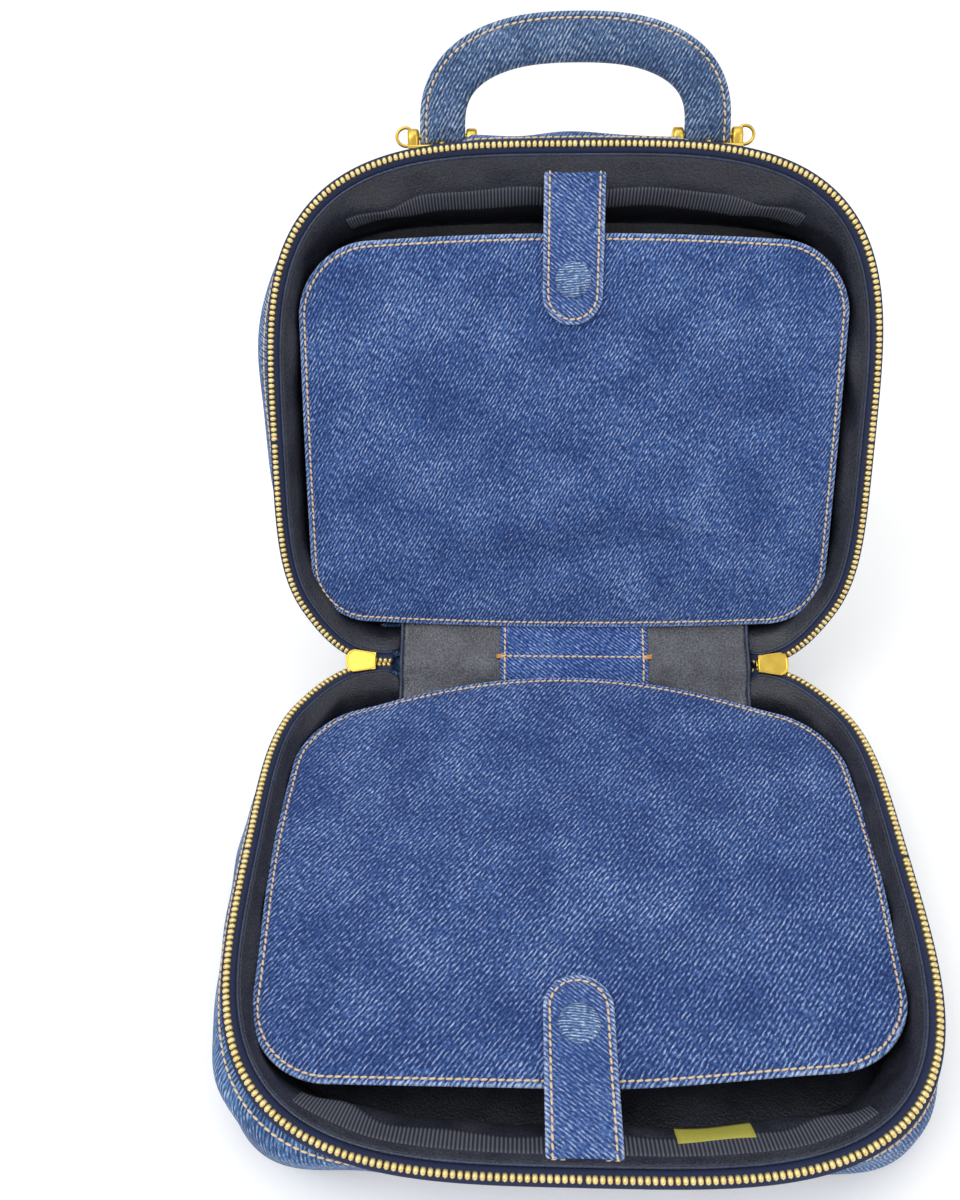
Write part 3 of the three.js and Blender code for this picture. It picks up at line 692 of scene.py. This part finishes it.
panel_section = fold([(26, 17), (16, 13), (8.5, 8.4), (2.6, 1.5)], [(2.6, 1.5), (9, 7.4), (17, 12), (24, 14.5)])
panel = bridge("hinge_leather_panel", PANEL_X, panel_section, 1.0, panel_leather_painted_sheen, 0.2, 21)
hinge_cloth(panel)
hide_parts("lower_hinge_panel", "upper_hinge_panel")
strap_section = fold([(24, 15), (14.6, 11.0), (7.4, 6.6), (2.2, -0.1)], [(2.2, -0.1), (8.0, 5.6), (15.8, 10.4), (22, 12.5)])
strap = bridge("hinge_denim_strap", STRAP_X, strap_section, 1.1, strap_denim, 0.12, 22)
hinge_cloth(strap)
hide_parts("lower_hinge_strap", "upper_hinge_strap")
cover = bridge("hinge_outer_cover", PANEL_X + 12, fold([(14, 20), (6, 16), (1.5, 12)], [(1.5, 12), (6, 16), (14, 20)]), 1.2, shell_denim, 0.2, 23)
hinge_cloth(cover)

strap_up = np.array([0, -math.sin(math.radians(32)), math.cos(math.radians(32))])
welts = []
for way in (-1, 1):
    for radius_x in (PANEL_X - 0.6,):
        ring = np.linspace(0, 2 * np.pi, 9)
        path = fold([(26, 16.4), (16, 12.4), (8.3, 7.8), (2.4, 0.9)], [(2.4, 0.9), (8.8, 6.8), (17, 11.4), (24, 13.9)])
        tube = (HINGE + path[:, None] + MM * (np.array([STRAP_MIDDLE + way * radius_x, 0, 0])
                + 0.9 * np.cos(ring)[:, None] * np.array([1, 0, 0]) + 0.9 * np.sin(ring)[:, None] * strap_up))
        welts.append(capped(tube))
welt = surface("hinge_panel_welts", *[(w, np.zeros(w.shape[:2] + (2,))) for w in welts], material=piping_leather)
hinge_cloth(welt)

runs = []
for x in (-STRAP_X + 2.4, STRAP_X - 2.4):
    runs.append((HINGE + strap_section + MM * (np.array([STRAP_MIDDLE + x, 0, 0]) + 0.15 * strap_up), strap_up))
row_x = (STRAP_MIDDLE + np.linspace(-STRAP_X, STRAP_X, 60))[:, None] * [1, 0, 0]
crease = strap_section[len(strap_section) // 2 + 5]
runs.append((HINGE + crease + MM * (row_x + 0.2 * strap_up), strap_up))
sewn = stitches("hinge_strap_stitching", *runs, material=tan_thread)
hinge_cloth(sewn)
tacks = []
for x in (STRAP_MIDDLE - STRAP_X, STRAP_MIDDLE + STRAP_X):
    for lift in (-0.8, -0.3, 0.3, 0.8):
        ends = np.array([[x - 2.6, 0, 0], [x + 2.6, 0, 0]]) + lift * np.array([0, 0.85, 0.53])
        tacks.append((HINGE + crease + MM * (ends + 0.35 * strap_up), strap_up))
tack = stitches("hinge_bar_tacks", *tacks, material=gold_thread, length=4.8, gap=0.2, thick=0.6)
hinge_cloth(tack)

# ---- flaps ----
# A denim flap closes each compartment: two layers of denim turned in at the edge and edge-stitched round thin
# padding, backed with the lining cloth. A tab holds it shut.
FLAP = {  # the hinge side's middle, how far its ends stand off, its corners, and how far the sides bow out
    "lower": {"near": 6.4, "droop": 28.0, "corner": 24.0, "bow": 4.5, "lift": 5.6, "crown": 0.0,
              "slant": 9.0},
    "upper": {"near": 16.2, "droop": 4.0, "corner": 27.0, "bow": 0.5, "lift": 0.0, "crown": 4.0,
              "slant": 0.0},
}
FLAP_HALF, FLAP_FAR, FLAP_CORNER = 129.0, {"lower": 210.5, "upper": 207.5}, 33.0
FLAP_FOLDS = {  # soft creases: from (across, away) to (across, away), width and height
    "lower": [(-8, 148, 40, 120, 8, -1.1), (20, 168, 75, 150, 9, 1.2), (26, 190, 95, 160, 8, -1.0),
              (-95, 190, -60, 120, 14, 0.9), (60, 110, 105, 90, 12, 0.8), (-70, 60, 30, 48, 13, 0.7)],
    "upper": [(-90, 62, 30, 78, 7, 1.0), (-60, 48, 70, 62, 7, -1.0), (10, 84, 108, 60, 8, 0.9),
              (-105, 100, -50, 120, 13, 0.7), (30, 130, 95, 118, 12, -0.7), (40, 40, 110, 46, 7, 0.7)],
}
FLAP_RINGS = [  # inset from the edge, and down, of the top face, the turned edge and the underside
    (24, 7.9), (16, 8.0), (10, 8.1), (6.5, 8.25), (4.2, 8.5), (3.1, 8.95), (2.6, 9.05), (2.1, 8.95), (1.2, 8.75),
    (0.45, 8.95), (0, 9.6), (0.35, 10.3), (1.3, 10.7), (4, 10.8), (10, 10.8), (24, 10.8)]


def resample(path, count):
    """count points at equal lengths along a polyline."""
    run = np.concatenate([[0], np.cumsum(np.linalg.norm(np.diff(path, axis=0), axis=1))])
    want = np.linspace(0, run[-1], count)
    return np.stack([np.interp(want, run, path[:, k]) for k in range(path.shape[1])], -1)


def inwards(path):
    """Unit normals to the left of a closed outline."""
    step = np.roll(path[:-1], -1, 0) - np.roll(path[:-1], 1, 0)
    step = np.vstack([step, step[:1]])
    return np.stack([-step[:, 1], step[:, 0]], 1) / np.linalg.norm(step, axis=1, keepdims=True)


def flap_outline(side, count=481):
    """A rectangle with rounded corners, run anticlockwise from the middle of its hinge side, whose hinge side
    is bowed: the corners stand off by droop times the square of the share of the half width."""
    near, droop, corner, bow = (FLAP[side][key] for key in ("near", "droop", "corner", "bow"))
    arcs = []
    for cx, cy, radius, start in ((1, 0, corner, -90), (1, 1, FLAP_CORNER, 0), (-1, 1, FLAP_CORNER, 90),
                                  (-1, 0, corner, 180)):
        turn = np.radians(start + np.linspace(0, 90, 40))
        middle = (cx * (FLAP_HALF - radius), (FLAP_FAR[side] - radius) if cy else near + radius)
        arcs.append(np.stack([middle[0] + radius * np.cos(turn), middle[1] + radius * np.sin(turn)], 1))
    path = np.vstack([[[0, near]], *arcs, [[0, near]]])
    path = resample(path, 1600)
    path[:, 1] += droop * (path[:, 0] / FLAP_HALF) ** 2 * (1 - smoothstep(path[:, 1], near + 20, near + 110))
    far_side = smoothstep(path[:, 1], 110, 200)
    path[:, 1] -= far_side * (FLAP[side]["crown"] * (path[:, 0] / 110) ** 2
                              + FLAP[side]["slant"] * smoothstep(path[:, 0], 0, 125))
    path[:, 0] *= 1 + bow / FLAP_HALF * np.exp(-((path[:, 1] - 105) / 60) ** 2)
    return resample(path, count)


def pillow(side, outline, rings, centre, soft, raised, trim=0.0):
    """Rings at (inset, down) inside an outline, shut towards a centre line from the first and last ring, with
    soft(x, y) mm of unevenness on the top face and the whole raised by raised(x, y) mm. Returns points, cloth
    coordinates and edge wear."""
    normal = inwards(outline)
    rows = [(outline + (inset + trim) * normal, down) for inset, down in rings]
    shares = np.linspace(0, 1, 14)[:-1]
    middle = np.stack([np.clip(outline[:, 0], -centre[0], centre[0]), np.clip(outline[:, 1], *centre[1])], 1)
    first, last = rows[0], rows[-1]
    rows = ([(middle + s * (first[0] - middle), first[1]) for s in shares] + rows
            + [(middle + s * (last[0] - middle), last[1]) for s in shares[::-1]])
    flat = np.stack([r[0] for r in rows])
    down = np.array([r[1] for r in rows])[:, None]
    top = (np.arange(len(rows)) < len(rows) / 2 - 1)[:, None]
    x, y = flat[..., 0], flat[..., 1]
    down = down - soft(x, y) * top - raised(x, y)
    inset = np.array([24.0] * 13 + [r[0] for r in rings] + [24.0] * 13)[:, None]
    wear = 0.9 * (1 - smoothstep(inset, 0.3, 2.2)) + 0 * x
    image_y = y if side == "upper" else -y
    return place(side, x, y, down), MM * np.stack([x, image_y], -1), wear


for side in SIDES:
    outline = flap_outline(side)

    def soft(x, y):
        """Slow swells of half a millimetre, the creases, and puckers that fade 14 mm in from the stitching."""
        edge = np.minimum(FLAP_HALF - np.abs(x), np.minimum(FLAP_FAR[side] - y, y - FLAP[side]["near"]))
        total = 0.25 * ripple(x, y, 9, 5) * smoothstep(-edge, -16, -4) * smoothstep(edge, 2.5, 4)
        total = total + 0.5 * ripple(x, y, 80, 31) * smoothstep(edge, 2, 26)
        for x0, y0, x1, y1, width, height in FLAP_FOLDS[side]:
            share = np.clip(((x - x0) * (x1 - x0) + (y - y0) * (y1 - y0)) / ((x1 - x0) ** 2 + (y1 - y0) ** 2), 0, 1)
            away = np.hypot(x - x0 - share * (x1 - x0), y - y0 - share * (y1 - y0))
            total = total + 1.5 * height * np.exp(-(away / width) ** 2) * smoothstep(edge, 3, 20)
        return total

    def lift(x, y):
        """The middle of the hinge side rides up over the hinge strap."""
        return FLAP[side]["lift"] * np.clip(1 - (x / 95) ** 2, 0, 1) * (1 - smoothstep(y, 10, 70))

    flap = surface(f"{side}_denim_flap", pillow(side, outline, FLAP_RINGS, (60, (118, 118)), soft, lift),
                   material=flap_denim[side])
    place(side, 0.0, 11.0, 8.0)
    place(side, 0.0, 25.0, 8.0)
    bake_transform(flap)
    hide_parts(f"{side}_flap_cover")
    backing_rings = [(14, 11.0), (4, 11.0), (1.2, 11.05), (0.4, 11.3), (0, 11.7), (0.5, 12.2), (2, 12.35), (14, 12.4)]
    points, cloth, wear = pillow(side, outline, backing_rings, (60, (118, 118)), lambda x, y: 0 * x, lift, 2.0)
    backing = surface(f"{side}_flap_lining", (points, cloth), material=lining_leather)
    place(side, 0.0, 11.0, 8.0)
    place(side, 0.0, 25.0, 8.0)
    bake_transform(backing)
    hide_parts(f"{side}_flap_backing")
    seam = outline + 2.6 * inwards(outline)
    sewn = stitches(f"{side}_flap_stitching", (place(side, seam[:, 0], seam[:, 1], 8.9 - lift(seam[:, 0], seam[:, 1])),
                                                      facing(side)),
                    material=tan_thread)
    place(side, 0.0, 11.0, 8.0)
    place(side, 0.0, 25.0, 8.0)
    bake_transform(sewn)
    finish_node(f"{side}_snap_stud", gold_plate)

# ---- tabs ----
# A denim strap, doubled and edge-stitched, is sewn in under the piping and reaches over the flap. A
# denim-covered snap cap closes on the stud beneath it.
TAB_HALF, TAB_TIP, TAB_ROOT, SNAP_AT = 14.0, 166.5, 241.0, 187.0
TAB_RINGS = [(6, 5.1), (4, 5.15), (3.2, 5.4), (2.6, 5.5), (2.0, 5.4), (1.2, 5.2), (0.5, 5.35), (0, 6.0), (0.4, 6.7),
             (1.2, 7.0), (6, 7.1)]
tab_denim = denim("washed_tab_denim", "#223a72", "#4b6aa4", "#c6d2e6", -38)
cap_denim = denim("washed_cap_denim", "#34527f", "#6683ae", "#d0dae8", 4, rib=1.1, flecks=1.4)


def tab_outline(count=241):
    """A strip with one round end, run anticlockwise from the middle of its root."""
    turn = np.radians(np.linspace(180, 360, 60))
    tip = np.stack([TAB_HALF * np.cos(turn), TAB_TIP + TAB_HALF + TAB_HALF * np.sin(turn)], 1)
    return resample(np.vstack([[[0, TAB_ROOT], [-TAB_HALF, TAB_ROOT]], tip, [[TAB_HALF, TAB_ROOT], [0, TAB_ROOT]]]),
                    count)


for side in SIDES:
    outline = tab_outline()

    def lift(x, y):
        """The strap lies flat and swells softly; its root runs in behind the lining, under the rim."""
        return 0.18 * ripple(x, y, 26, 41) + 0 * x

    def root_rise(x, y):
        """The lower strap climbs 2.4 mm to the piping over its last 25 mm."""
        return (2.4 if side == "lower" else 0.0) * smoothstep(y, 205, 230) + 0 * x

    points, cloth, wear = pillow(side, outline, TAB_RINGS, (0.0, (TAB_TIP + 16, TAB_ROOT - 16)), lift, root_rise)
    tab = surface(f"{side}_denim_tab", (points, cloth, wear), material=tab_denim)
    seam = (outline + 2.6 * inwards(outline))[8:-8]
    sewn = stitches(f"{side}_tab_stitching", (place(side, seam[:, 0], seam[:, 1], 5.35 - root_rise(seam[:, 0], seam[:, 1])),
                                                     facing(side)),
                    material=tan_thread)
    turn = np.linspace(0, 2 * np.pi, 49)
    cap_rows = np.array([(0, 3.0), (2, 3.0), (4, 3.1), (5.8, 3.3), (7.2, 3.7), (8, 4.4), (8.2, 5.0), (7.9, 5.5),
                         (4, 5.6), (0, 5.6)])
    cap_x = cap_rows[:, :1] * np.cos(turn)
    cap_y = SNAP_AT + cap_rows[:, :1] * np.sin(turn)
    cap = surface(f"{side}_covered_snap", (place(side, cap_x, cap_y, cap_rows[:, 1:] + 0 * cap_x),
                                           MM * np.stack([cap_x, cap_y], -1)), material=cap_denim)
    root = place(side, 0.0, TAB_ROOT, 5.0)
    towards = place(side, 0.0, 0.0, 0.0) - place(side, 0.0, 1000.0, 0.0)
    for piece, slot in ((tab, "washed_denim"), (sewn, "washed_denim"), (cap, "washed_denim")):
        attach(piece, f"{side}_tab")
        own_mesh(piece)
    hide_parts(f"{side}_tab_strap")
    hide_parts(f"{side}_snap_cap")

# ---- handle ----
# A padded arch: denim wrapped round a soft core and edge-stitched along the outside, so that a thin welt
# stands beyond the stitches. Its feet close round the bracket pins.
FOOT_X, PIN_AWAY, HANDLE_DEPTH, HANDLE_RISE = 60.5, 250.0, 21.0, 37.0
LEG = 4.2
HANDLE_SECTION = [(-10.4, 0), (-10.1, 2.5), (-8, 4.3), (-4, 5.2), (0, 5.1), (4, 4.1), (6.4, 2.5), (7.4, 1.75),
                  (8.6, 2.0), (10, 1.7), (10.5, 0)]


def handle_line(count):
    """Two short legs and half a superellipse |x/w|^2.5 + |y/h|^2.5 = 1 between them, at equal steps."""
    angle = np.linspace(np.pi, 0, 400)
    bend = lambda v: np.sign(v) * np.abs(v) ** 0.8
    arch = np.stack([FOOT_X * bend(np.cos(angle)), PIN_AWAY + LEG + HANDLE_RISE * bend(np.sin(angle))], 1)
    return resample(np.vstack([[[-FOOT_X, PIN_AWAY - 3.4]], arch, [[FOOT_X, PIN_AWAY - 3.4]]]), count)


path = handle_line(141)
step = np.gradient(path, axis=0)
out = np.stack([-step[:, 1], step[:, 0]], 1) / np.linalg.norm(step, axis=1, keepdims=True)
half_section = through(HANDLE_SECTION, 23)
half_section[[0, -1], 1] = 0
section = np.vstack([half_section, (half_section * [1, -1])[-2::-1]])
spread = path[:, None] + section[None, :, :1] * out[:, None]
soft = 0.35 * ripple(spread[..., 0], spread[..., 1], 24, 51) * (np.abs(section[None, :, 1]) > 2.2)
below = PIN_AWAY - spread[..., 1]
round_foot = np.where(below > 0, np.sqrt(np.clip(3.7**2 - below**2, 0.3, None)), 3.7 - 0.5 * below)
thickness = np.clip(section[None, :, 1] * (1 + soft / 5), -round_foot, round_foot)
pad = capped(place("upper", spread[..., 0], spread[..., 1], HANDLE_DEPTH - thickness))
pad_xy = np.concatenate([spread[:1], spread, spread[-1:]])
wear = np.where(section[None, :, 0] > 8.6, 0.5, 0.0) + 0 * pad_xy[..., 0]
handle_denim = denim("washed_handle_denim", "#22365a", "#4f6c94", "#cdd6e2", 60)
handle = surface("padded_handle", (pad, MM * pad_xy, wear), material=handle_denim)
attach(handle, "handle")
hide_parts("handle_pad", "handle_foot_left", "handle_foot_right")
rows = []
for face in (1, -1):
    seam = path + 7.4 * out
    rows.append((place("upper", seam[:, 0], seam[:, 1], HANDLE_DEPTH - face * 1.85), face * facing("upper")))
sewn = stitches("handle_stitching", *rows, material=tan_thread, length=3.0, gap=0.5)
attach(sewn, "handle")

# ---- brackets, rings and rivets ----
# Gold-plated die castings: each bracket is a base plate with two round-topped cheeks that hold the handle's
# pin, riveted through the denim. A wire ring hangs outside each outer cheek.
BASE_TOP, CHEEK_RADIUS, CHEEK_IN, CHEEK_OUT = 246.2, 4.6, 10.9, 15.9


def bar(outline, rows):
    """An outline of (away, depth) drawn in by inset at each x of rows, and shut at both ends."""
    normal = inwards(outline)
    grid = np.stack([np.concatenate([np.full((len(outline), 1), x), outline + inset * normal], 1) for x, inset in rows])
    return capped(grid)


arc = np.radians(np.linspace(90, -90, 17))
cheek_line = resample(np.vstack([np.stack([PIN_AWAY - 1 + CHEEK_RADIUS * np.cos(arc), CHEEK_RADIUS * np.sin(arc)], 1)[::-1],
                                 [[BASE_TOP - 1, CHEEK_RADIUS], [BASE_TOP - 1, -CHEEK_RADIUS]],
                                 [[PIN_AWAY - 1, -CHEEK_RADIUS]]]), 61)
plate_line = resample(np.array([[BASE_TOP - 1.6, -5.4], [BASE_TOP, -5.4], [BASE_TOP, 5.4], [BASE_TOP - 1.6, 5.4],
                                [BASE_TOP - 1.6, -5.4]]), 61)
for name, way in (("left", -1), ("right", 1)):
    grids = []
    for low, high in ((CHEEK_IN, CHEEK_OUT), (-CHEEK_OUT, -CHEEK_IN)):
        grids.append(bar(cheek_line, [(low, 1.0), (low + 0.3, 0.3), (low + 1, 0), (high - 1.2, 0), (high - 0.4, 0.35),
                                      (high, 1.1)]))
    grids.append(bar(plate_line, [(-16, 0.4), (-15.6, 0), (15.6, 0), (16, 0.4)]))
    sheets = []
    for grid in grids:
        points = place("upper", way * FOOT_X + grid[..., 0], grid[..., 1], HANDLE_DEPTH + grid[..., 2])
        sheets.append((points, np.zeros(points.shape[:2] + (2,))))
    bracket = surface(f"bracket_{name}_casting", *sheets, material=gold_plate)
    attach(bracket, "upper_case")
    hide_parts(f"bracket_{name}")
    for node in ("handle_pin", "ring_barrel", "rivet_front", "rivet_back"):
        finish_node(f"{node}_{name}", gold_plate)

    # The ring: round wire along a D, a straight bar with a bow of half an ellipse.
    turn = np.linspace(-np.pi / 2, np.pi / 2, 60)
    bow = np.stack([1.4 + 4.4 * np.cos(turn), 4.0 * np.sin(turn)], 1)
    line = resample(np.vstack([bow, [[0, 3.6], [0, -3.6]], bow[:1]]), 61)
    outward = -inwards(line)
    wire = np.linspace(0, 2 * np.pi, 11)
    ring_x = way * (FOOT_X + 15.4) + way * (line[:, None, 0] + 0.75 * np.cos(wire) * outward[:, None, 0])
    ring_y = PIN_AWAY + line[:, None, 1] + 0.75 * np.cos(wire) * outward[:, None, 1]
    points = place("upper", ring_x, ring_y, HANDLE_DEPTH + 0.75 * np.sin(wire) + 0 * ring_x)
    wire_ring = surface(f"ring_{name}_wire", (points, np.zeros(points.shape[:2] + (2,))), material=gold_plate)
    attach(wire_ring, f"ring_{name}")
    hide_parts(f"ring_{name}")

# ---- price sticker ----
# A small blank paper label, olive yellow, stuck on the lower lining by the tab.
sticker_paper = filler("olive_sticker_paper", "#b3ae48", "#99943a", 0.6, 0.6)
under_label = np.flatnonzero((zip_line(around)[1] > 170) & (zip_line(around)[0] > 33) & (zip_line(around)[0] < 65))
label = surface("blank_price_label", on_lining("lower", 6.4, 15.4, under_label, 2.6), material=sticker_paper)
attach(label, "lower_case")
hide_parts("price_sticker")

# ---- floor, light and camera ----
# A plain pale floor and soft white studio light: a broad key from the upper left, a fill from the right and
# an even surround.
floor_mesh = bpy.data.meshes.new("floor")
floor_mesh.from_pydata([(-8, -8, 0), (8, -8, 0), (8, 8, 0), (-8, 8, 0)], [], [(0, 1, 2, 3)])
floor = bpy.data.objects.new("floor", floor_mesh)
bpy.context.scene.collection.objects.link(floor)
floor_paint, tree = material_named("pale_floor_paint")
shader = add(tree, "BsdfPrincipled", {"Base Color": linear("#f8f8f7"), "Roughness": 0.9,
                                      "Emission Color": (1, 1, 1, 1), "Emission Strength": 0.12}).outputs[0]
add(tree, "OutputMaterial", {0: shader})
floor_mesh.materials.append(floor_paint)

surround = bpy.data.worlds.new("studio_surround")
surround.use_nodes = True
surround.node_tree.nodes["Background"].inputs[0].default_value = (1, 1, 1, 1)
surround.node_tree.nodes["Background"].inputs[1].default_value = 0.8
bpy.context.scene.world = surround
for name, place_at, size, power in (("key_light", (-0.9, -0.5, 1.6), 1.1, 11.0), ("fill_light", (1.2, -0.7, 1.1), 1.0, 3.0),
                                    ("top_light", (0.0, 0.4, 1.8), 1.4, 5.0)):
    lamp = bpy.data.lights.new(name, "AREA")
    lamp.size, lamp.energy = size, power
    holder = bpy.data.objects.new(name, lamp)
    bpy.context.scene.collection.objects.link(holder)
    aim = HINGE - np.array(place_at)
    holder.location = place_at
    holder.rotation_euler = (math.atan2(math.hypot(aim[0], aim[1]), -aim[2]), 0, math.atan2(-aim[0], aim[1]))

lens = bpy.data.cameras.new("camera")
lens.lens, lens.clip_start = 33.0, 0.01
camera = bpy.data.objects.new("camera", lens)
camera.location = (-0.026, -0.2694, 0.451)
camera.rotation_euler = tuple(math.radians(a) for a in (46.86, 0.98, 1.57))
bpy.context.scene.collection.objects.link(camera)
bpy.context.scene.camera = camera
bpy.context.scene.view_settings.view_transform = "Standard"

bpy.context.view_layer.update()
